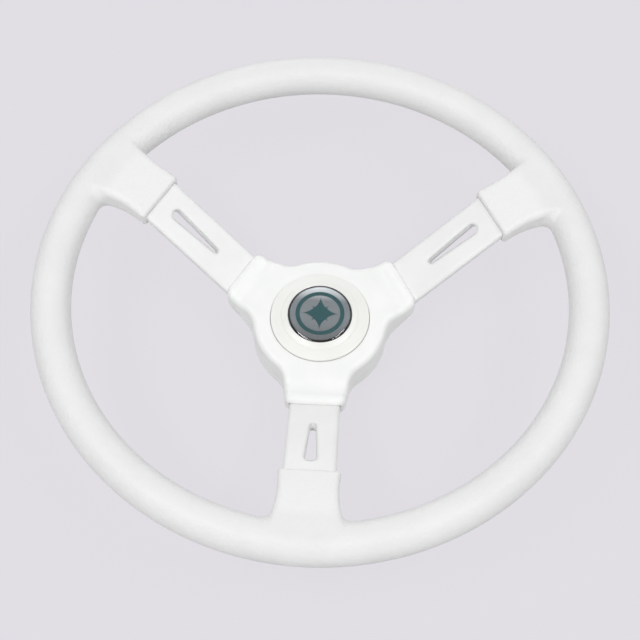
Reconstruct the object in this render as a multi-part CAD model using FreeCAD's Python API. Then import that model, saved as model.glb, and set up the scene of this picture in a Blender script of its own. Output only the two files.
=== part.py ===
import FreeCAD, Part

import math
import os

from FreeCAD import Vector

# Boat steering wheel: a soft moulded rim on a round-bar core, a one-piece bent plate with three
# slotted spokes, and a hub with a tapered bore, closed by two moulded covers and a snap-in cap.
# Millimetres. The origin is the middle of the hub's back face. +Z is the shaft's axis, towards
# the helmsman. One spoke points along -Y.

# Overall
wheel_diameter = 350.0
spoke_count = 3
first_spoke_angle = -90.0
rim_height = 74.0          # hub's back face to the middle plane of the rim

# Rim
grip_diameter = 24.4
core_diameter = 10.0

# Spoke plate
plate_thickness = 5.0
plate_underside = 25.0     # height of the flat middle's underside
spoke_width = 31.0
inner_bend_radius = 45.7   # where the top face bends up out of the flat middle
outer_bend_radius = 122.1  # where it bends level again, inside the rim's collar
bend_fillet = 8.0
plate_disc_radius = 31.0
plate_root_fillet = 8.0
plate_edge_break = 1.6
plate_end_corner = 2.0
plate_embedding = 2.0      # how far the spokes' ends reach past the bar's near side

# Tapered slot in each spoke, measured on the top face
slot_inner_end = 77.0
slot_outer_end = 109.5
slot_inner_radius = 1.7
slot_outer_radius = 3.5

# Rim collars: the rounded sleeves that the grip forms round the spokes' ends
collar_end = 119.0
collar_lip_width = 36.6
collar_waist_width = 34.6
collar_root_width = 54.0
collar_end_cover = 3.0
collar_root_fillet = 6.0
collar_lip_fillet = 1.6
collar_rim_inset = 0.3
collar_low_corner = 8.0
collar_high_corner = 5.0
collar_sections = 6

# Hub, turned in one piece
hub_radius = 24.0
hub_flange_radius = 29.0
hub_flange_thickness = 8.0
hub_nose_radius = 16.8
hub_nose_clearance = 0.2
hub_chamfer = 1.0
hub_fillet = 1.5           # under the flange
hub_edge_break = 0.6
bore_large_diameter = 19.2
bore_taper = 1.0 / 12.0    # on the diameter
nut_seat_height = 26.0
nut_recess_radius = 13.5
keyway_width = 4.76
keyway_depth = 2.4

# Countersunk screws that hold the plate on the hub
hub_screw_count = 6
hub_screw_circle = 45.2
hub_screw_diameter = 5.0
hub_screw_length = 12.0
hub_screw_head_diameter = 9.6
hub_screw_hex = 3.0
hub_screw_hex_depth = 2.0

# Hub covers: one outline for both
cover_radius = 42.0
cover_arm_width = 36.4     # at the arm's end
cover_arm_end = 60.0
cover_arm_taper = 7.0      # degrees each side, wider towards the hub
cover_root_fillet = 16.0
cover_arm_corner = 5.5
cover_wall = 2.6
cover_edge_fillet = 4.0
seam_gap = 0.3
seam_drop = 5.2            # the seam lies this far under the plate's top face
plate_fit = 0.15

# Front cover
front_height = 40.0        # top of the flat middle
front_valley_drop = 1.8
front_valley_radius = 49.3
front_flat_end = 42.0
front_lip_cover = 5.1      # thickness over the spoke at the arm's end
front_pad_start = 52.0     # from here out the arm is solid and sits on the spoke

# Rear cover
rear_height = 13.5
rear_flat_end = 36.0
rear_end_cover = 4.0
rear_edge_fillet = 3.0
rear_hole_clearance = 0.3

# Screws that pull the rear cover to the front one
cover_screw_circle = 74.0
cover_screw_diameter = 3.0
cover_screw_length = 16.0
cover_screw_head_diameter = 6.4
cover_screw_head_height = 2.2
cover_screw_pocket = 5.0
cover_screw_head_round = 1.2
cover_screw_point = 3.0
cover_screw_cross_width = 1.0
cover_screw_cross_length = 3.5
cover_screw_cross_depth = 1.3
pilot_depth = 1.0          # past the screw's point
front_boss_radius = 3.6
rear_boss_radius = 4.9
boss_hole_clearance = 0.3
screw_clearance = 0.05

# Snap-in cap
cap_radius = 30.9
cap_gap = 0.3
cap_seat_depth = 1.6
cap_seat_thickness = 2.5
cap_seat_width = 2.0
cap_hole_radius = 26.5
cap_edge_rise = 1.3        # outer edge above the front cover
cap_crown_rise = 4.9       # badge's edge above the front cover
cap_step_radius = 24.2
cap_step_drop = 1.4        # crown down to the step
cap_step_fall = 0.5
cap_step_round = 0.5
cap_edge_round = 0.8
cap_badge_round = 0.3
cap_wall = 1.7
cap_skirt_wall = 1.8
cap_skirt_clearance = 0.35
cap_leg_count = 6
cap_leg_slit = 7.0
cap_hook_reach = 0.9
cap_hook_height = 1.4
cap_hook_gap = 0.2

# Badge
badge_radius = 19.9
badge_fit = 0.15
badge_recess = 0.9         # the seat lies this far under the crown
badge_disc_thickness = 0.9
lens_edge_height = 0.7
lens_dome_height = 1.6

# Cutting shapes stand this far out of what they cut
cut_margin = 1.0

# Derived sizes
rim_radius = (wheel_diameter - grip_diameter) / 2.0
core_radius = core_diameter / 2.0
plate_top = plate_underside + plate_thickness
spoke_end_top = rim_height + plate_thickness / 2.0
spoke_rise = spoke_end_top - plate_top
spoke_run = outer_bend_radius - inner_bend_radius
spoke_slope = math.atan2(spoke_rise, spoke_run)
spoke_reach = rim_radius - core_radius + plate_embedding
spoke_angles = [first_spoke_angle + 360.0 * i / spoke_count for i in range(spoke_count)]
between_angles = [angle + 180.0 / spoke_count for angle in spoke_angles]
seam_height = plate_top - seam_drop
band_half_width = cover_radius + cover_root_fillet
cap_seat_height = front_height - cap_seat_depth
cap_seat_underside = cap_seat_height - cap_seat_thickness
cap_crown_height = front_height + cap_crown_rise
cap_step_high = cap_crown_height - cap_step_drop
cap_step_low = cap_step_high - cap_step_fall
badge_seat_height = cap_crown_height - badge_recess
cover_screw_seat = rear_height + cover_screw_pocket

Z_AXIS = Vector(0, 0, 1)
ORIGIN = Vector(0, 0, 0)


# Plain geometry

def unit(vector):
    return vector * (1.0 / vector.Length)


def turned(shape, angle):
    """A copy of the shape, turned about the wheel's axis."""
    copy = shape.copy()
    copy.rotate(ORIGIN, Z_AXIS, angle)
    return copy


def copies(shape, angles):
    return [turned(shape, angle) for angle in angles]


def fused(shapes):
    """One solid from several, without the seams between faces that line up."""
    joined = shapes[0].multiFuse(shapes[1:]) if len(shapes) > 1 else shapes[0]
    return joined.removeSplitter()


def cylinder(radius, low, high, x=0.0, y=0.0):
    return Part.makeCylinder(radius, high - low, Vector(x, y, low), Z_AXIS)


def polar(radius, angle, height=0.0):
    turn = math.radians(angle)
    return Vector(radius * math.cos(turn), radius * math.sin(turn), height)


def rounded_wire(corners):
    """A closed wire through (point, radius) corners, each rounded by a tangent arc."""
    count = len(corners)
    starts, ends, middles = [], [], []
    for i, (point, radius) in enumerate(corners):
        arriving = unit(point - corners[i - 1][0])
        leaving = unit(corners[(i + 1) % count][0] - point)
        half_turn = arriving.getAngle(leaving) / 2.0
        if radius <= 0 or half_turn < 1e-6:
            starts.append(point)
            ends.append(point)
            middles.append(None)
            continue
        setback = radius * math.tan(half_turn)
        inward = unit(leaving - arriving)
        starts.append(point - arriving * setback)
        ends.append(point + leaving * setback)
        middles.append(point + inward * (radius / math.cos(half_turn) - radius))
    edges = []
    for i in range(count):
        if middles[i] is not None:
            edges.append(Part.Arc(starts[i], middles[i], ends[i]).toShape())
        following = starts[(i + 1) % count]
        if (following - ends[i]).Length > 1e-6:
            edges.append(Part.makeLine(ends[i], following))
    return Part.Wire(edges)


def revolved(corners):
    """A solid of revolution from (radius, height, fillet) corners of its half section."""
    wire = rounded_wire([(Vector(r, 0, z), fillet) for r, z, fillet in corners])
    return Part.Face(wire).revolve(ORIGIN, Z_AXIS, 360)


def star_outline(disc_radius, arm_half_width, arm_end, root_fillet, end_corner, taper=0.0):
    """Plan outline of a disc with one arm per spoke and concave fillets at the arms' roots.

    Each arm has its half width at its end, and its sides spread inward by the taper in degrees.
    """
    slant = math.radians(taper)
    outward = Vector(math.sin(slant), math.cos(slant), 0)
    along = Vector(math.cos(slant), -math.sin(slant), 0)
    side = outward.dot(Vector(arm_end, arm_half_width, 0))
    root = math.sqrt((disc_radius + root_fillet) ** 2 - (side + root_fillet) ** 2)
    fillet_middle = outward * (side + root_fillet) + along * root
    on_disc = unit(fillet_middle) * disc_radius
    on_arm = outward * side + along * root
    fillet_mid_arc = fillet_middle - unit(fillet_middle - (on_disc + on_arm) * 0.5) * root_fillet
    corner_x = arm_end - end_corner
    corner_y = (side - end_corner - outward.x * corner_x) / outward.y
    corner_middle = Vector(corner_x, corner_y, 0)
    corner_in = corner_middle + outward * end_corner
    corner_out = Vector(arm_end, corner_y, 0)
    corner_mid = corner_middle + unit(outward + Vector(1, 0, 0)) * end_corner

    def mirrored(point):
        return Vector(point.x, -point.y, 0)

    arm = [
        Part.Arc(mirrored(on_disc), mirrored(fillet_mid_arc), mirrored(on_arm)).toShape(),
        Part.makeLine(mirrored(on_arm), mirrored(corner_in)),
        Part.Arc(mirrored(corner_in), mirrored(corner_mid), mirrored(corner_out)).toShape(),
        Part.makeLine(mirrored(corner_out), corner_out),
        Part.Arc(corner_out, corner_mid, corner_in).toShape(),
        Part.makeLine(corner_in, on_arm),
        Part.Arc(on_arm, fillet_mid_arc, on_disc).toShape(),
    ]
    leave_angle = math.degrees(math.atan2(on_disc.y, on_disc.x))
    edges = []
    for angle in spoke_angles:
        edges += [turned(edge, angle) for edge in arm]
        start, end = angle + leave_angle, angle + 360.0 / spoke_count - leave_angle
        middle = (start + end) / 2.0
        disc_arc = Part.Arc(*[polar(disc_radius, a) for a in (start, middle, end)])
        edges.append(disc_arc.toShape())
    return Part.Wire(Part.__sortEdges__(edges))


def star_prism(outline, low, high):
    prism = Part.Face(outline).extrude(Vector(0, 0, high - low))
    prism.translate(Vector(0, 0, low))
    return prism


def spoke_bands(corners):
    """The (radius, height, fillet) section of one arm, drawn out sideways in the arm's own
    share of the circle and set round."""
    section = rounded_wire([(Vector(r, -band_half_width, z), f) for r, z, f in corners])
    band = Part.Face(section).extrude(Vector(0, 2 * band_half_width, 0))
    reach = wheel_diameter
    side = reach * math.tan(math.pi / spoke_count)
    share = Part.makePolygon([ORIGIN, Vector(reach, -side, 0), Vector(reach, side, 0), ORIGIN])
    share = Part.Face(share).extrude(Vector(0, 0, wheel_diameter))
    return fused(copies(band.common(share), spoke_angles))


def spoke_line(radius, offset=0.0):
    """Height of the sloping stretch at a radius, the given distance above its top face."""
    rise = (radius - inner_bend_radius) * math.tan(spoke_slope)
    return plate_top + rise + offset / math.cos(spoke_slope)


def bend_shift(offset):
    """How far a bend's corner moves inward on a line that far above the top face."""
    return offset * math.tan(spoke_slope / 2.0)


# Metal core

def rim_core():
    return Part.makeTorus(rim_radius, core_radius, Vector(0, 0, rim_height), Z_AXIS)


def plate_section(extra):
    """Section of the flat middle, the sloping spoke and its level end, extra mm fatter."""
    above, below = extra, -(plate_thickness + extra)
    inner_up = inner_bend_radius - bend_shift(above)
    inner_down = inner_bend_radius - bend_shift(below)
    outer_up = outer_bend_radius - bend_shift(above)
    outer_down = outer_bend_radius - bend_shift(below)
    reach = spoke_reach + band_half_width
    thick = plate_thickness + extra
    return [
        (0.0, plate_top + above, 0.0),
        (inner_up, plate_top + above, bend_fillet - extra),
        (outer_up, spoke_end_top + above, bend_fillet + thick),
        (reach, spoke_end_top + above, 0.0),
        (reach, spoke_end_top + below, 0.0),
        (outer_down, spoke_end_top + below, bend_fillet - extra),
        (inner_down, plate_top + below, bend_fillet + thick),
        (0.0, plate_top + below, 0.0),
    ]


def plate_blank(extra=0.0):
    """The bent plate with no holes, extra mm larger all round."""
    outline = star_outline(
        plate_disc_radius + extra,
        spoke_width / 2.0 + extra,
        spoke_reach,
        plate_root_fillet - extra,
        plate_end_corner,
    )
    prism = star_prism(outline, plate_underside - 2.0, rim_height + grip_diameter)
    return prism.common(spoke_bands(plate_section(extra)))


def slot_tool():
    """Tapered slot through the spoke that points along +X, square to its sloping face."""
    along_slope = 1.0 / math.cos(spoke_slope)
    inner = (slot_inner_end - inner_bend_radius) * along_slope + slot_inner_radius
    outer = (slot_outer_end - inner_bend_radius) * along_slope - slot_outer_radius
    lean = (slot_outer_radius - slot_inner_radius) / (outer - inner)
    cosine, sine = math.sqrt(1.0 - lean * lean), lean
    depth = plate_thickness * 2.0

    def on_side(centre, radius, side):
        return Vector(centre - radius * sine, side * radius * cosine, -depth)

    narrow_low = on_side(inner, slot_inner_radius, -1)
    narrow_high = on_side(inner, slot_inner_radius, 1)
    wide_low = on_side(outer, slot_outer_radius, -1)
    wide_high = on_side(outer, slot_outer_radius, 1)
    wide_tip = Vector(outer + slot_outer_radius, 0, -depth)
    narrow_tip = Vector(inner - slot_inner_radius, 0, -depth)
    wire = Part.Wire([
        Part.makeLine(narrow_low, wide_low),
        Part.Arc(wide_low, wide_tip, wide_high).toShape(),
        Part.makeLine(wide_high, narrow_high),
        Part.Arc(narrow_high, narrow_tip, narrow_low).toShape(),
    ])
    tool = Part.Face(wire).extrude(Vector(0, 0, 2.0 * depth))
    tool.rotate(ORIGIN, Vector(0, 1, 0), -math.degrees(spoke_slope))
    tool.translate(Vector(inner_bend_radius, 0, plate_top))
    return tool


def face_slope(face):
    """Z component of the face's normal at its middle."""
    low_u, high_u, low_v, high_v = face.ParameterRange
    return face.normalAt((low_u + high_u) / 2.0, (low_v + high_v) / 2.0).z


def outline_edges(shape, side):
    """Edges where an upright wall meets a face turned up (side 1) or down (side -1)."""
    found = []
    for edge in shape.Edges:
        slopes = [face_slope(face) for face in shape.ancestorsOfType(edge, Part.Face)]
        upright = any(abs(slope) < 0.1 for slope in slopes)
        turned_that_way = any(slope * side > 0.5 for slope in slopes)
        if upright and turned_that_way:
            found.append(edge)
    return found


def screw_places():
    step = 360.0 / hub_screw_count
    radius = hub_screw_circle / 2.0
    return [polar(radius, first_spoke_angle + step * i) for i in range(hub_screw_count)]


def countersunk(place, clearance):
    """Head and shank of one hub screw, clearance mm larger all round."""
    shank = hub_screw_diameter / 2.0 + clearance
    head = hub_screw_head_diameter / 2.0 + clearance
    depth = head - shank
    foot = plate_top - hub_screw_length - clearance
    cone = Part.makeCone(shank, head, depth, Vector(place.x, place.y, plate_top - depth))
    return cone.fuse(cylinder(shank, foot, plate_top, place.x, place.y))


def spoke_plate(core):
    plate = plate_blank()
    edges = outline_edges(plate, 1) + outline_edges(plate, -1)
    plate = plate.makeFillet(plate_edge_break, edges)
    cutters = copies(slot_tool(), spoke_angles)
    cutters += [countersunk(place, screw_clearance) for place in screw_places()]
    nose_hole = hub_nose_radius + hub_nose_clearance
    cutters.append(cylinder(nose_hole, plate_underside - cut_margin, plate_top + cut_margin))
    return plate.cut(cutters).cut(core)


# Hub

def hub_boss():
    flange_low = plate_underside - hub_flange_thickness
    body = revolved([
        (0.0, 0.0, 0.0),
        (hub_radius - hub_chamfer, 0.0, 0.0),
        (hub_radius, hub_chamfer, 0.0),
        (hub_radius, flange_low, hub_fillet),
        (hub_flange_radius, flange_low, hub_edge_break),
        (hub_flange_radius, plate_underside, 0.0),
        (hub_nose_radius, plate_underside, 0.0),
        (hub_nose_radius, plate_top, hub_edge_break),
        (0.0, plate_top, 0.0),
    ])
    large = bore_large_diameter / 2.0
    small = large - nut_seat_height * bore_taper / 2.0
    bore = Part.makeCone(large, small, nut_seat_height, ORIGIN)
    recess = cylinder(nut_recess_radius, nut_seat_height, plate_top + cut_margin)
    keyway = Part.makeBox(
        keyway_width,
        large + keyway_depth,
        nut_seat_height,
        Vector(-keyway_width / 2.0, 0, 0),
    )
    body = body.cut([bore, recess, keyway])
    holes = [countersunk(place, screw_clearance) for place in screw_places()]
    return body.cut(holes)


def hex_prism(across_flats, low, high, place):
    radius = across_flats / math.sqrt(3.0)
    corners = [polar(radius, 60.0 * i, low) + place for i in range(6)]
    return Part.Face(Part.makePolygon(corners + corners[:1])).extrude(Vector(0, 0, high - low))


def hub_screws():
    screws = []
    for place in screw_places():
        low = plate_top - hub_screw_hex_depth
        socket = hex_prism(hub_screw_hex, low, plate_top + cut_margin, place)
        screws.append(countersunk(place, 0.0).cut(socket))
    return Part.makeCompound(screws)


# Grip

def collar_section(radius, half_width, low, high, low_corner, high_corner):
    """Section across the spoke that points along +X: a box with rounded corners."""
    return rounded_wire([
        (Vector(radius, -half_width, low), low_corner),
        (Vector(radius, half_width, low), low_corner),
        (Vector(radius, half_width, high), high_corner),
        (Vector(radius, -half_width, high), high_corner),
    ])


def collar():
    """Sleeve round the end of the spoke that points along +X, lofted from its lip to the rim."""
    lip_middle = spoke_line(collar_end, -plate_thickness / 2.0)
    lip_half_height = (plate_thickness / 2.0 + collar_end_cover) / math.cos(spoke_slope)
    tube = grip_diameter / 2.0 - collar_rim_inset
    sections = []
    for i in range(collar_sections):
        way = i / (collar_sections - 1.0)
        radius = collar_end + way * (rim_radius - collar_end)
        flare = (collar_lip_width - collar_waist_width) * (1.0 - way) ** 6
        spread = (collar_root_width - collar_waist_width) * way ** 3
        half_width = (collar_waist_width + flare + spread) / 2.0
        middle = rim_height + (lip_middle - rim_height) * (1.0 - way) ** 4
        low = middle - lip_half_height - (tube - lip_half_height) * way ** 2
        high = middle + lip_half_height + (tube - lip_half_height) * math.sin(way * math.pi / 2.0)
        low_corner = collar_low_corner * (0.55 + 0.45 * way)
        high_corner = collar_high_corner * (0.6 + 0.4 * way)
        sections.append(collar_section(radius, half_width, low, high, low_corner, high_corner))
    return Part.makeLoft(sections, True, False)


def root_edges(skin):
    """The edges along which the collars run into the round rim."""
    found = []
    for edge in skin.Edges:
        faces = skin.ancestorsOfType(edge, Part.Face)
        kinds = {type(face.Surface).__name__ for face in faces}
        if "Toroid" in kinds and len(kinds) > 1:
            found.append(edge)
    return found


def lip_edges(skin):
    """The edges round the collars' flat ends."""
    found = []
    for face in skin.Faces:
        if type(face.Surface).__name__ == "Plane":
            found += face.Edges
    return found


def rim_grip(core, plate):
    rim = Part.makeTorus(rim_radius, grip_diameter / 2.0, Vector(0, 0, rim_height), Z_AXIS)
    skin = rim.multiFuse(copies(collar(), spoke_angles))
    skin = skin.makeFillet(collar_root_fillet, root_edges(skin))
    skin = skin.makeFillet(collar_lip_fillet, lip_edges(skin))
    return skin.cut(core).cut(plate)


# Covers

def seam_line(offset):
    """The covers' seam, which follows the plate's underside, raised by the offset."""
    level = offset - seam_drop
    end = cover_arm_end + cover_arm_corner
    return [
        (0.0, plate_top + level, 0.0),
        (inner_bend_radius - bend_shift(level), plate_top + level, bend_fillet + seam_drop),
        (end, spoke_line(end, level), 0.0),
    ]


def front_line(drop):
    """The front cover's top: flat middle, shallow valley and raised lip, lowered by the drop."""
    end = cover_arm_end + cover_arm_corner
    return [
        (0.0, front_height - drop, 0.0),
        (front_flat_end, front_height - drop, 14.0),
        (front_valley_radius, front_height - front_valley_drop - drop, 7.0),
        (end, spoke_line(end, front_lip_cover) - drop, 0.0),
    ]


def rear_line(lift):
    """The rear cover's underside: flat middle and rising arms, raised by the lift."""
    end = cover_arm_end + cover_arm_corner
    return [
        (0.0, rear_height + lift, 0.0),
        (rear_flat_end, rear_height + lift, 10.0),
        (end, spoke_line(end, -plate_thickness - rear_end_cover) + lift, 0.0),
    ]


def between(upper, lower):
    """All that lies between two lines of the arms' section."""
    return spoke_bands(upper + lower[::-1])


def cover_outline(inset=0.0, end=cover_arm_end):
    return star_outline(
        cover_radius - inset,
        cover_arm_width / 2.0 - inset + (cover_arm_end - end) * math.tan(math.radians(cover_arm_taper)),
        end,
        cover_root_fillet + inset,
        cover_arm_corner,
        cover_arm_taper,
    )


def cover_screw_places():
    return [polar(cover_screw_circle / 2.0, angle) for angle in between_angles]


def front_cover():
    top = rim_height
    block = star_prism(cover_outline(), 0.0, top)
    shell = block.common(between(front_line(0.0), seam_line(seam_gap / 2.0)))
    shell = shell.makeFillet(cover_edge_fillet, outline_edges(shell, 1))
    hollow = star_prism(cover_outline(cover_wall, front_pad_start), 0.0, top)
    hollow = hollow.common(between(front_line(cover_wall), seam_line(-plate_thickness)))
    shell = shell.cut(hollow)
    seat_ring = cylinder(cap_radius + cap_gap + cap_seat_width, cap_seat_underside, cap_seat_height)
    bosses = []
    pilots = []
    for place in cover_screw_places():
        low = seam_height + seam_gap / 2.0
        bosses.append(cylinder(front_boss_radius, low, front_height - cover_wall, place.x, place.y))
        tip = cover_screw_seat + cover_screw_length + pilot_depth
        pilots.append(cylinder(cover_screw_diameter / 2.0 + screw_clearance, 0.0, tip, place.x, place.y))
    shell = fused([shell, seat_ring] + bosses)
    recess = cylinder(cap_radius + cap_gap, cap_seat_height, top)
    hole = cylinder(cap_hole_radius, 0.0, top)
    return shell.cut([recess, hole, plate_blank(plate_fit)] + pilots)


def rear_cover():
    block = star_prism(cover_outline(), 0.0, rim_height)
    shell = block.common(between(seam_line(-seam_gap / 2.0), rear_line(0.0)))
    shell = shell.makeFillet(rear_edge_fillet, outline_edges(shell, -1))
    hollow = star_prism(cover_outline(cover_wall, front_pad_start), 0.0, rim_height)
    hollow = hollow.common(between(seam_line(plate_thickness), rear_line(cover_wall)))
    shell = shell.cut(hollow)
    bosses = []
    holes = []
    for place in cover_screw_places():
        high = seam_height - seam_gap / 2.0
        bosses.append(cylinder(rear_boss_radius, rear_height + cover_wall / 2.0, high, place.x, place.y))
        shank = cover_screw_diameter / 2.0 + boss_hole_clearance
        head = cover_screw_head_diameter / 2.0 + boss_hole_clearance
        holes.append(cylinder(shank, 0.0, high + cut_margin, place.x, place.y))
        holes.append(cylinder(head, 0.0, cover_screw_seat, place.x, place.y))
    shell = fused([shell] + bosses)
    hub_hole = cylinder(hub_radius + rear_hole_clearance, 0.0, rear_height + cover_wall + cut_margin)
    return shell.cut([hub_hole, plate_blank(plate_fit)] + holes)


def cover_screws():
    """Pan-head screws with a cross recess, heads down in the rear cover's pockets."""
    head_radius = cover_screw_head_diameter / 2.0
    shank_radius = cover_screw_diameter / 2.0
    head_low = cover_screw_seat - cover_screw_head_height
    tip = cover_screw_seat + cover_screw_length
    screws = []
    for place in cover_screw_places():
        screw = revolved([
            (0.0, head_low, 0.0),
            (head_radius, head_low, cover_screw_head_round),
            (head_radius, cover_screw_seat, 0.0),
            (shank_radius, cover_screw_seat, 0.0),
            (shank_radius, tip - cover_screw_point, 0.0),
            (0.0, tip, 0.0),
        ])
        slot = Part.makeBox(
            cover_screw_cross_length,
            cover_screw_cross_width,
            cover_screw_cross_depth,
            Vector(-cover_screw_cross_length / 2.0, -cover_screw_cross_width / 2.0, head_low),
        )
        screw = screw.cut(copies(slot, (0, 90)))
        screw.translate(place)
        screws.append(screw)
    return Part.makeCompound(screws)


# Cap and badge

def cap_body():
    """Shallow dome in two steps, with a seat for the badge and a split skirt of hooked legs."""
    edge_top = front_height + cap_edge_rise
    skirt = cap_hole_radius - cap_skirt_clearance
    skirt_inside = skirt - cap_skirt_wall
    hook_top = cap_seat_underside - cap_hook_gap
    hook_low = hook_top - cap_hook_height
    badge_edge = badge_radius + badge_fit
    roof = badge_seat_height - cap_wall
    cap = revolved([
        (0.0, badge_seat_height, 0.0),
        (badge_edge, badge_seat_height, 0.0),
        (badge_edge, cap_crown_height, cap_badge_round),
        (cap_step_radius - cap_step_round, cap_step_high, cap_step_round),
        (cap_step_radius, cap_step_low, cap_step_round / 2.0),
        (cap_radius, edge_top, cap_edge_round),
        (cap_radius, cap_seat_height, 0.0),
        (skirt, cap_seat_height, 0.0),
        (skirt, hook_top, 0.0),
        (skirt + cap_hook_reach, hook_top, 0.0),
        (skirt, hook_low, 0.0),
        (skirt_inside, hook_low, 0.0),
        (skirt_inside, cap_step_low - cap_wall, cap_step_round),
        (badge_edge, roof, 0.0),
        (0.0, roof, 0.0),
    ])
    slits = []
    for i in range(cap_leg_count):
        slit = Part.makeBox(
            2.0 * cap_radius,
            cap_leg_slit,
            cap_seat_height - hook_low + cut_margin,
            Vector(badge_radius / 2.0, -cap_leg_slit / 2.0, hook_low - cut_margin),
        )
        slits.append(turned(slit, 360.0 / cap_leg_count * i))
    return cap.cut(slits)


def badge_disc():
    return cylinder(badge_radius, badge_seat_height, badge_seat_height + badge_disc_thickness)


def badge_lens():
    """Clear dome: a short upright edge under a shallow spherical top."""
    base = badge_seat_height + badge_disc_thickness
    edge = base + lens_edge_height
    top = base + lens_dome_height
    rise = lens_dome_height - lens_edge_height
    sphere = (badge_radius ** 2 + rise ** 2) / (2.0 * rise)
    half = badge_radius / 2.0
    arc_height = top - sphere + math.sqrt(sphere ** 2 - half ** 2)
    under = Vector(0, 0, base)
    corner = Vector(badge_radius, 0, base)
    shoulder = Vector(badge_radius, 0, edge)
    crown = Vector(0, 0, top)
    wire = Part.Wire([
        Part.makeLine(under, corner),
        Part.makeLine(corner, shoulder),
        Part.Arc(shoulder, Vector(half, 0, arc_height), crown).toShape(),
        Part.makeLine(crown, under),
    ])
    return Part.Face(wire).revolve(ORIGIN, Z_AXIS, 360)


def main():
    os.makedirs("parts", exist_ok=True)
    core = rim_core()
    plate = spoke_plate(core)
    nodes = {
        "rim_core": core,
        "spoke_plate": plate,
        "rim_grip": rim_grip(core, plate),
        "hub_boss": hub_boss(),
        "hub_screws": hub_screws(),
        "front_cover": front_cover(),
        "rear_cover": rear_cover(),
        "cover_screws": cover_screws(),
        "cap_body": cap_body(),
        "badge_disc": badge_disc(),
        "badge_lens": badge_lens(),
    }
    for name, shape in nodes.items():
        shape.exportStep(f"parts/{name}.step")


main()
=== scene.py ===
"""Looks of a boat steering wheel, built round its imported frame."""

import math

import bmesh
import bpy
from mathutils import Matrix, Vector


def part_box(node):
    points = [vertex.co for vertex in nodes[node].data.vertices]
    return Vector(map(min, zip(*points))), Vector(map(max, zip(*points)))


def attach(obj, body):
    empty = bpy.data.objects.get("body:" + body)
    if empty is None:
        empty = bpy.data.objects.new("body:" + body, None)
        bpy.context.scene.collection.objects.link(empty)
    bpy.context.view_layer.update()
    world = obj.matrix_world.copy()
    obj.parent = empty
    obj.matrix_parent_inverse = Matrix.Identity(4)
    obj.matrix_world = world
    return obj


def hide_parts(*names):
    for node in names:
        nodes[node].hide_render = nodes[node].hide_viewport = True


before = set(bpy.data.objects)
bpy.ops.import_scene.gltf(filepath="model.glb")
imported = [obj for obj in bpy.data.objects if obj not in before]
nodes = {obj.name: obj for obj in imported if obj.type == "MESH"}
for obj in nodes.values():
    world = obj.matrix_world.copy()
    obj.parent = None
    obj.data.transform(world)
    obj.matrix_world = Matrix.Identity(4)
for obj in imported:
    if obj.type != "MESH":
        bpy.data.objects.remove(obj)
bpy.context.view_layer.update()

MM = 0.001

# The camera, in metres and degrees from the rim's middle, which falls on AXIS_PIXEL
IMAGE_SIDE = 640
CAMERA_DISTANCE = 0.9415
CAMERA_ELEVATION = 60.295
CAMERA_AZIMUTH = 2.301
CAMERA_ROLL = 0.813
FOCAL_PIXELS = 1552.2
AXIS_PIXEL = (320.3, 290.5)
SENSOR = 36.0
NEAREST = 0.01
FARTHEST = 100.0

# Colours, as written in sRGB from 0 to 255
BRIGHTEST = 255
BACKGROUND = (225, 222, 228)
FLOOR_BOUNCE = (197, 197, 197)
GRIP_WHITE = (232, 232, 232)
SPOKE_WHITE = (237, 238, 237)
COVER_WHITE = (245, 247, 245)
CAP_CREAM = (240, 241, 237)
# The badge's lighter silver is a painted reflection at its top, and its darker silver is painted
# shade at its foot
SILVER_PAINTED_REFLECTION = (186, 191, 193)
SILVER_MIDDLE = (100, 106, 108)
SILVER_PAINTED_SHADE = (82, 85, 86)
# The badge's dark edge colour is painted shade round its rim
BADGE_EDGE_PAINTED_SHADE = (12, 14, 13)
TEAL = (0, 60, 62)
TURNED_METAL = (196, 198, 200)
SCREW_STEEL = (170, 171, 172)
CLEAR = (255, 255, 255)

# Soft studio lamps: azimuth clockwise from straight behind the wheel, elevation, level, which
# is the share of full white that the lamp alone gives a surface facing it, and height
LAMP_DISTANCE = 3.0
LAMP_WIDTH = 1.8
LAMPS = {
    "key": (235, 60, 0.37, 0.5),
    "side": (108, 60, 0.26, 0.5),
    "back": (350, 15, 0.15, 1.8),
    "front": (180, 15, 0.12, 1.8),
    "right": (70, 30, 0.075, 1.8),
    "left": (290, 30, 0.02, 1.8),
}
WORLD_LEVEL = 0.42
FLOOR_HALF = 30.0
FLOOR_ROUGHNESS = 0.9
FLOOR_GLOW = 0.93          # how much of the floor's colour stays out of the wheel's shadow

# Sizes read from the solids
rim_low, rim_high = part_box("rim_grip")
core_low, core_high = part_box("rim_core")
badge_low, badge_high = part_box("badge_disc")
WHEEL_RADIUS = (rim_high.x - rim_low.x) / 2
RIM_HEIGHT = (core_low.z + core_high.z) / 2
RIM_RADIUS = core_high.x - (core_high.z - core_low.z) / 2
RING_INSIDE = 2 * RIM_RADIUS - WHEEL_RADIUS
BADGE_RADIUS = (badge_high.x - badge_low.x) / 2

# Surfaces: how far their colours wander, which part of the noise does it, and their relief
PATCH_DARKER = 2
PATCH_LIGHTER = 1
PATCH_RANGE = (0.35, 0.65)
GLOSS_RANGE = (0.3, 0.7)
COLLAR_LIGHTER = 4
COLLAR_FADE = 6 * MM
CREASE_SCALES = (320.0, 800.0)
CREASE_SHARE = 0.4
PORE_SCALE = 1500.0
PORE_SHARE = 0.2
TURNING_SCALE = 4000.0
GRIP_ROUND = 2.0 * MM
PAINT_ROUND = 3.5 * MM
ROUND_SAMPLES = 6
PLASTIC_DEPTH = 1.2 * MM   # how far light spreads in the hub's covers

# The badge's print, its painted reflection and painted shade, and its painted shade border, in
# shares of its radius
# Where the painted reflection at the top and the painted shade at the foot fade in, along the
# badge's height
PAINTED_REFLECTION_REACH = (0.45, 0.95)
PAINTED_SHADE_REACH = (-0.3, -0.9)
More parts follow.
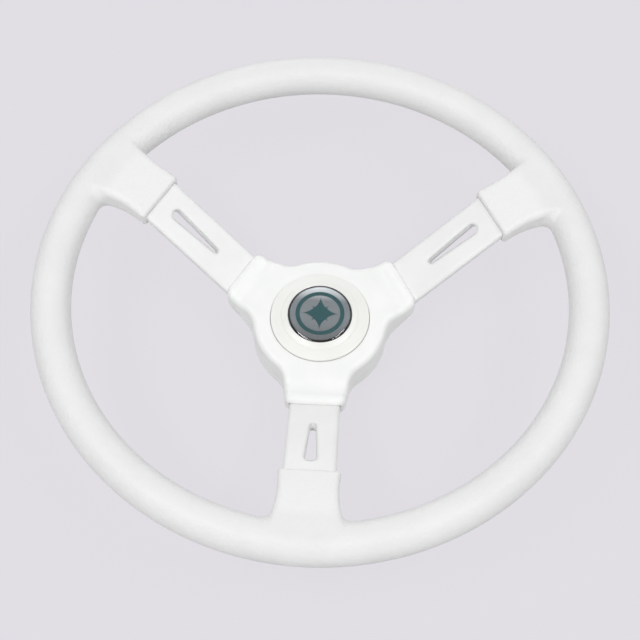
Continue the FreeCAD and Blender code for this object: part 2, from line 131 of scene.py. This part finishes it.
# The painted shade ring round the badge's edge
PAINTED_SHADE_BORDER = (0.925, 0.945)
RING_MIDDLE = 0.7
RING_HALF = 0.065
RING_SOFT = 0.004
STAR_LONG = 0.58
STAR_SHORT = 0.4
STAR_SOFT = 0.005
STAR_POWER = 0.62          # lower makes the star's arms thinner

# The badge's dome
DOME_LIFT = 0.03 * MM
DOME_EDGE = 0.15 * MM      # height of the dome's upright edge
DOME_FULLNESS = 8          # higher is flatter in the middle and steeper at the edge
DOME_RINGS = 64
DOME_SPOKES = 160
DOME_SHARP = 40            # faces that meet at more degrees than this show an edge

# Sockets of the Mix node that carry colours
MIX_FIRST, MIX_SECOND, MIX_RESULT = 6, 7, 2


def linear(colour):
    """An sRGB colour from 0 to 255 as linear values with alpha."""
    values = []
    for part in colour:
        share = part / BRIGHTEST
        values.append(share / 12.92 if share <= 0.04045 else ((share + 0.055) / 1.055) ** 2.4)
    return (*values, 1.0)


def shade_of(colour, change):
    return tuple(max(0, min(BRIGHTEST, part + change)) for part in colour)


class Material:
    """A node material with its Principled shader, and short calls that add nodes to it."""

    def __init__(self, name, colour, roughness, **settings):
        self.material = bpy.data.materials.new(name)
        self.material.use_nodes = True
        self.tree = self.material.node_tree
        self.shader = self.tree.nodes["Principled BSDF"]
        self.output = self.tree.nodes["Material Output"]
        self.shader.inputs["Base Color"].default_value = linear(colour)
        self.shader.inputs["Roughness"].default_value = roughness
        for socket, value in settings.items():
            self.shader.inputs[socket.replace("_", " ")].default_value = value

    def node(self, kind, inputs=None, **settings):
        made = self.tree.nodes.new("ShaderNode" + kind)
        for name, value in settings.items():
            setattr(made, name, value)
        for socket, value in (inputs or {}).items():
            if isinstance(value, bpy.types.NodeSocket):
                self.tree.links.new(value, made.inputs[socket])
            else:
                made.inputs[socket].default_value = value
        return made

    def place(self):
        """Coordinates on the object, in metres."""
        return self.node("TexCoord").outputs["Object"]

    def place_parts(self):
        """The same coordinates as separate x, y and z."""
        return self.node("SeparateXYZ", {0: self.place()}).outputs

    def math(self, operation, first, second=0.0):
        return self.node("Math", {0: first, 1: second}, operation=operation).outputs[0]

    def from_axis(self, x, y):
        """Distance from the wheel's axis."""
        squares = [self.math("POWER", part, 2.0) for part in (x, y)]
        return self.math("SQRT", self.math("ADD", *squares))

    def noise(self, scale, detail=2.0):
        settings = {"Vector": self.place(), "Scale": scale, "Detail": detail, "Roughness": 0.5}
        return self.node("TexNoise", settings).outputs["Fac"]

    def creases(self, scale):
        """Soft cells with creases between them, as in leather."""
        settings = {"Vector": self.place(), "Scale": scale}
        return self.node("TexVoronoi", settings, feature="SMOOTH_F1").outputs["Distance"]

    def spread(self, value, low, high, new_low=0.0, new_high=1.0):
        """The value taken from one range to another, held at its ends."""
        settings = {"Value": value, 1: low, 2: high, 3: new_low, 4: new_high}
        return self.node("MapRange", settings).outputs[0]

    def mix(self, share, first, second):
        """A colour between two, each a socket or an sRGB colour."""
        settings = {"Factor": share}
        for socket, colour in ((MIX_FIRST, first), (MIX_SECOND, second)):
            is_socket = isinstance(colour, bpy.types.NodeSocket)
            settings[socket] = colour if is_socket else linear(colour)
        return self.node("Mix", settings, data_type="RGBA").outputs[MIX_RESULT]

    def blend(self, share, first, second):
        """A shader between two others."""
        return self.node("MixShader", {0: share, 1: first, 2: second}).outputs[0]

    def patched(self, colour, scale, detail=2.0):
        """The colour with soft patches that are slightly darker and lighter."""
        share = self.spread(self.noise(scale, detail), *PATCH_RANGE)
        return self.mix(share, shade_of(colour, -PATCH_DARKER), shade_of(colour, PATCH_LIGHTER))

    def rounded(self, radius):
        """Normals that round the edges a little further than the solid does."""
        return self.node("Bevel", {"Radius": radius}, samples=ROUND_SAMPLES).outputs[0]

    def paint(self, socket, value):
        self.tree.links.new(value, self.shader.inputs[socket])

    def gloss(self, scale, low, high):
        """Roughness that wanders between two values."""
        self.paint("Roughness", self.spread(self.noise(scale), *GLOSS_RANGE, low, high))

    def bump(self, height, distance, strength, below=None):
        settings = {"Height": height, "Distance": distance, "Strength": strength}
        if below is not None:
            settings["Normal"] = below
        self.paint("Normal", self.node("Bump", settings).outputs[0])

    def show(self, shader):
        """Shows a shader in place of the Principled one alone."""
        self.tree.links.new(shader, self.output.inputs[0])


def grip_material():
    """White soft plastic with a fine leather grain, a little lighter on the collars."""
    made = Material("grip_white", GRIP_WHITE, roughness=0.5)
    x, y = made.place_parts()[:2]
    collar = made.spread(made.from_axis(x, y), RING_INSIDE - COLLAR_FADE, RING_INSIDE, 1.0, 0.0)
    ring = made.patched(GRIP_WHITE, scale=45.0, detail=3.0)
    made.paint("Base Color", made.mix(collar, ring, shade_of(GRIP_WHITE, COLLAR_LIGHTER)))
    made.gloss(scale=400.0, low=0.42, high=0.58)
    creases = [made.math("MULTIPLY", made.creases(scale), CREASE_SHARE) for scale in CREASE_SCALES]
    pores = made.math("MULTIPLY", made.noise(PORE_SCALE, detail=3.0), PORE_SHARE)
    grain = made.math("ADD", made.math("ADD", *creases), pores)
    made.bump(grain, distance=0.7 * MM, strength=0.6, below=made.rounded(GRIP_ROUND))
    return made.material


def painted_material():
    """White enamel on metal, with a faint orange-peel."""
    coat = {"Coat_Weight": 0.25, "Coat_Roughness": 0.2}
    made = Material("spoke_enamel", SPOKE_WHITE, roughness=0.32, **coat)
    made.paint("Base Color", made.patched(SPOKE_WHITE, scale=60.0))
    made.gloss(scale=250.0, low=0.28, high=0.38)
    peel = made.noise(420.0, detail=1.0)
    made.bump(peel, distance=0.1 * MM, strength=0.25, below=made.rounded(PAINT_ROUND))
    return made.material


def moulded_material(name, colour, roughness):
    """Moulded plastic with a very fine spark-eroded texture, slightly translucent."""
    made = Material(name, colour, roughness, Subsurface_Weight=0.6, Subsurface_Scale=PLASTIC_DEPTH)
    made.shader.inputs["Subsurface Radius"].default_value = (1.0, 1.0, 1.0)
    made.paint("Base Color", made.patched(colour, scale=50.0))
    made.gloss(scale=700.0, low=roughness - 0.05, high=roughness + 0.06)
    made.bump(made.noise(2600.0), distance=0.08 * MM, strength=0.3)
    return made.material


def metal_material(name, colour, roughness):
    """Bare turned metal: fine rings round the wheel's axis."""
    made = Material(name, colour, roughness, Metallic=1.0)
    x, y, z = made.place_parts()
    along = made.math("MULTIPLY", made.math("ADD", made.from_axis(x, y), z), TURNING_SCALE)
    rings = made.node("TexNoise", {"W": along}, noise_dimensions="1D").outputs["Fac"]
    made.gloss(scale=300.0, low=roughness - 0.06, high=roughness + 0.08)
    made.bump(rings, distance=0.05 * MM, strength=0.4)
    return made.material


def spread_on_badge(made, value, limits):
    """0 to 1 between two limits, which are shares of the badge's radius."""
    low, high = limits
    return made.spread(value, low * BADGE_RADIUS, high * BADGE_RADIUS)


def ring_share(made, radius):
    """1 on the badge's printed ring, and 0 beside it."""
    half, soft = RING_HALF * BADGE_RADIUS, RING_SOFT * BADGE_RADIUS
    off_ring = made.math("ABSOLUTE", made.math("SUBTRACT", radius, RING_MIDDLE * BADGE_RADIUS))
    return made.spread(off_ring, half - soft, half + soft, 1.0, 0.0)


def star_share(made, first, second, reach):
    """1 in a star with four arms along two directions, and 0 beside it."""
    sides = [made.math("ABSOLUTE", part) for part in (first, second)]
    arms = made.math("ADD", *[made.math("POWER", side, STAR_POWER) for side in sides])
    edge = (reach * BADGE_RADIUS) ** STAR_POWER
    return made.spread(arms, edge * (1 - STAR_SOFT), edge * (1 + STAR_SOFT), 1.0, 0.0)


def print_share(made, x, y, radius):
    """1 where the badge is printed: a ring round a star with four long arms and four short."""
    diagonal = math.sqrt(0.5)
    across = made.math("MULTIPLY", made.math("ADD", x, y), diagonal)
    along = made.math("MULTIPLY", made.math("SUBTRACT", x, y), diagonal)
    share = ring_share(made, radius)
    for first, second, reach in ((x, y, STAR_LONG), (across, along, STAR_SHORT)):
        share = made.math("MAXIMUM", share, star_share(made, first, second, reach))
    return share


def badge_material():
    """Silver foil with a painted reflection at the top, painted shade towards the bottom and a
    painted shade ring round the edge, and a plain teal ring and compass star.
    """
    foil = {"Metallic": 0.3, "Specular_IOR_Level": 0.1}
    made = Material("badge_silver", SILVER_MIDDLE, roughness=0.35, **foil)
    x, y = made.place_parts()[:2]
    radius = made.from_axis(x, y)
    # Painted reflection towards the top, painted shade towards the foot
    top = spread_on_badge(made, y, PAINTED_REFLECTION_REACH)
    foot = spread_on_badge(made, y, PAINTED_SHADE_REACH)
    # Painted shade ring round the edge
    painted_shade_border = spread_on_badge(made, radius, PAINTED_SHADE_BORDER)
    silver = made.mix(foot, made.mix(top, SILVER_MIDDLE, SILVER_PAINTED_REFLECTION), SILVER_PAINTED_SHADE)
    printed = made.mix(print_share(made, x, y, radius), silver, TEAL)
    made.paint("Base Color", made.mix(painted_shade_border, printed, BADGE_EDGE_PAINTED_SHADE))
    made.gloss(scale=900.0, low=0.3, high=0.42)
    made.bump(made.noise(3000.0), distance=0.03 * MM, strength=0.2)
    return made.material


def clear_material():
    """Clear cast dome over the badge, which lets the lamps' light through to it."""
    made = Material("clear_dome", CLEAR, roughness=0.02, IOR=1.42, Transmission_Weight=1.0)
    made.bump(made.noise(120.0, detail=1.0), distance=0.03 * MM, strength=0.1)
    in_shadow = made.node("LightPath").outputs["Is Shadow Ray"]
    clear = made.node("BsdfTransparent").outputs[0]
    made.show(made.blend(in_shadow, made.shader.outputs[0], clear))
    return made.material


def add_object(name, data):
    added = bpy.data.objects.new(name, data)
    bpy.context.scene.collection.objects.link(added)
    return added


def dome_profile(radius, base, top):
    """Radius and height from beside the crown to the foot, in steps that close up at the edge."""
    shoulder = base + DOME_EDGE
    points = []
    for step in range(1, DOME_RINGS + 1):
        way = math.sin(math.pi / 2 * step / DOME_RINGS)
        points.append((radius * way, top - (top - shoulder) * way ** DOME_FULLNESS))
    points.append((radius, base))
    return points


def dome_mesh(radius, base, top):
    """The dome's profile turned round the wheel's axis, and closed at its crown and foot."""
    form = bmesh.new()
    turns = [2 * math.pi * spoke / DOME_SPOKES for spoke in range(DOME_SPOKES)]
    rings = []
    for reach, height in dome_profile(radius, base, top):
        corners = [(reach * math.cos(turn), reach * math.sin(turn), height) for turn in turns]
        rings.append([form.verts.new(corner) for corner in corners])
    crown = form.verts.new((0.0, 0.0, top))
    foot = form.verts.new((0.0, 0.0, base))
    for spoke in range(DOME_SPOKES):
        following = (spoke + 1) % DOME_SPOKES
        form.faces.new((crown, rings[0][spoke], rings[0][following]))
        form.faces.new((foot, rings[-1][following], rings[-1][spoke]))
        for inner, outer in zip(rings, rings[1:]):
            form.faces.new((inner[spoke], outer[spoke], outer[following], inner[following]))
    mesh = bpy.data.meshes.new("badge_dome")
    form.to_mesh(mesh)
    form.free()
    mesh.polygons.foreach_set("use_smooth", [True] * len(mesh.polygons))
    mesh.set_sharp_from_angle(angle=math.radians(DOME_SHARP))
    return mesh


def add_dome():
    """The badge's cast dome."""
    low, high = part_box("badge_lens")
    mesh = dome_mesh((high.x - low.x) / 2, low.z + DOME_LIFT, high.z)
    mesh.materials.append(clear_material())
    dome = add_object("badge_dome", mesh)
    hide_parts("badge_lens")
    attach(dome, "root")


def dress(node, material):
    mesh = nodes[node].data
    mesh.materials.clear()
    mesh.materials.append(material)


def dress_nodes():
    metal = metal_material("turned_metal", TURNED_METAL, roughness=0.3)
    steel = metal_material("screw_steel", SCREW_STEEL, roughness=0.28)
    cover = moulded_material("cover_white", COVER_WHITE, roughness=0.4)
    dress("rim_core", metal)
    dress("hub_boss", metal)
    dress("hub_screws", steel)
    dress("cover_screws", steel)
    dress("spoke_plate", painted_material())
    dress("rim_grip", grip_material())
    dress("front_cover", cover)
    dress("rear_cover", cover)
    dress("cap_body", moulded_material("cap_cream", CAP_CREAM, roughness=0.35))
    dress("badge_disc", badge_material())


def add_lamp(name, azimuth, elevation, level, height):
    """An oval softbox aimed at the rim's middle."""
    turn, rise = math.radians(azimuth), math.radians(elevation)
    way = Vector((math.sin(turn) * math.cos(rise), math.cos(turn) * math.cos(rise), math.sin(rise)))
    data = bpy.data.lights.new(name, "AREA")
    data.shape = "ELLIPSE"
    data.size = LAMP_WIDTH
    data.size_y = height
    data.energy = level * (math.pi * LAMP_DISTANCE) ** 2
    lamp = add_object(name, data)
    lamp.location = Vector((0.0, 0.0, RIM_HEIGHT)) + way * LAMP_DISTANCE
    lamp.rotation_mode = "QUATERNION"
    lamp.rotation_quaternion = (-way).to_track_quat("-Z", "Y")


def seen_directly(tree):
    """1 for what the camera sees straight, in gloss or through glass, and 0 for plain light."""
    path = tree.nodes.new("ShaderNodeLightPath")
    share = path.outputs["Is Camera Ray"]
    for ray in ("Is Glossy Ray", "Is Transmission Ray"):
        either = tree.nodes.new("ShaderNodeMath")
        either.operation = "MAXIMUM"
        tree.links.new(share, either.inputs[0])
        tree.links.new(path.outputs[ray], either.inputs[1])
        share = either.outputs[0]
    return share


def add_world():
    """Even studio light in front of a pale backdrop."""
    world = bpy.data.worlds.new("studio")
    bpy.context.scene.world = world
    world.use_nodes = True
    tree = world.node_tree
    tree.nodes.clear()
    seen = tree.nodes.new("ShaderNodeBackground")
    seen.inputs[0].default_value = linear(BACKGROUND)
    light = tree.nodes.new("ShaderNodeBackground")
    light.inputs[0].default_value = (1.0, 1.0, 1.0, 1.0)
    light.inputs[1].default_value = WORLD_LEVEL
    mix = tree.nodes.new("ShaderNodeMixShader")
    output = tree.nodes.new("ShaderNodeOutputWorld")
    tree.links.new(seen_directly(tree), mix.inputs[0])
    tree.links.new(light.outputs[0], mix.inputs[1])
    tree.links.new(seen.outputs[0], mix.inputs[2])
    tree.links.new(mix.outputs[0], output.inputs[0])


def add_floor():
    """Plain floor in the backdrop's colour, which keeps a faint shadow of the wheel."""
    half = FLOOR_HALF
    mesh = bpy.data.meshes.new("floor")
    corners = [(-half, -half, 0.0), (half, -half, 0.0), (half, half, 0.0), (-half, half, 0.0)]
    mesh.from_pydata(corners, [], [(0, 1, 2, 3)])
    floor = add_object("floor", mesh)
    made = Material("floor_paint", FLOOR_BOUNCE, FLOOR_ROUGHNESS)
    shaded = made.node("BsdfDiffuse", {"Color": linear(BACKGROUND)}).outputs[0]
    glow = made.node("Emission", {"Color": linear(BACKGROUND), "Strength": 1.0}).outputs[0]
    seen = made.blend(FLOOR_GLOW, shaded, glow)
    made.show(made.blend(seen_directly(made.tree), made.shader.outputs[0], seen))
    mesh.materials.append(made.material)


def add_camera():
    """The camera, at its distance and angles from the rim's middle and rolled a little."""
    azimuth, elevation = math.radians(CAMERA_AZIMUTH), math.radians(CAMERA_ELEVATION)
    back = Vector((
        math.sin(azimuth) * math.cos(elevation),
        -math.cos(azimuth) * math.cos(elevation),
        math.sin(elevation),
    ))
    level = Vector((math.cos(azimuth), math.sin(azimuth), 0.0))
    upright = back.cross(level)
    roll = math.radians(CAMERA_ROLL)
    right = level * math.cos(roll) + upright * math.sin(roll)
    up = upright * math.cos(roll) - level * math.sin(roll)
    data = bpy.data.cameras.new("camera")
    data.sensor_width = SENSOR
    data.lens = FOCAL_PIXELS / IMAGE_SIDE * SENSOR
    data.shift_x = (IMAGE_SIDE / 2 - AXIS_PIXEL[0]) / IMAGE_SIDE
    data.shift_y = (AXIS_PIXEL[1] - IMAGE_SIDE / 2) / IMAGE_SIDE
    data.clip_start = NEAREST
    data.clip_end = FARTHEST
    camera = add_object("camera", data)
    stand = Vector((0.0, 0.0, RIM_HEIGHT)) + back * CAMERA_DISTANCE
    facing = Matrix((right, up, back)).transposed().to_4x4()
    camera.matrix_world = Matrix.Translation(stand) @ facing
    bpy.context.scene.camera = camera


def main():
    dress_nodes()
    add_dome()
    add_world()
    for name, settings in LAMPS.items():
        add_lamp(name, *settings)
    add_floor()
    add_camera()
    bpy.context.scene.view_settings.view_transform = "Standard"


main()
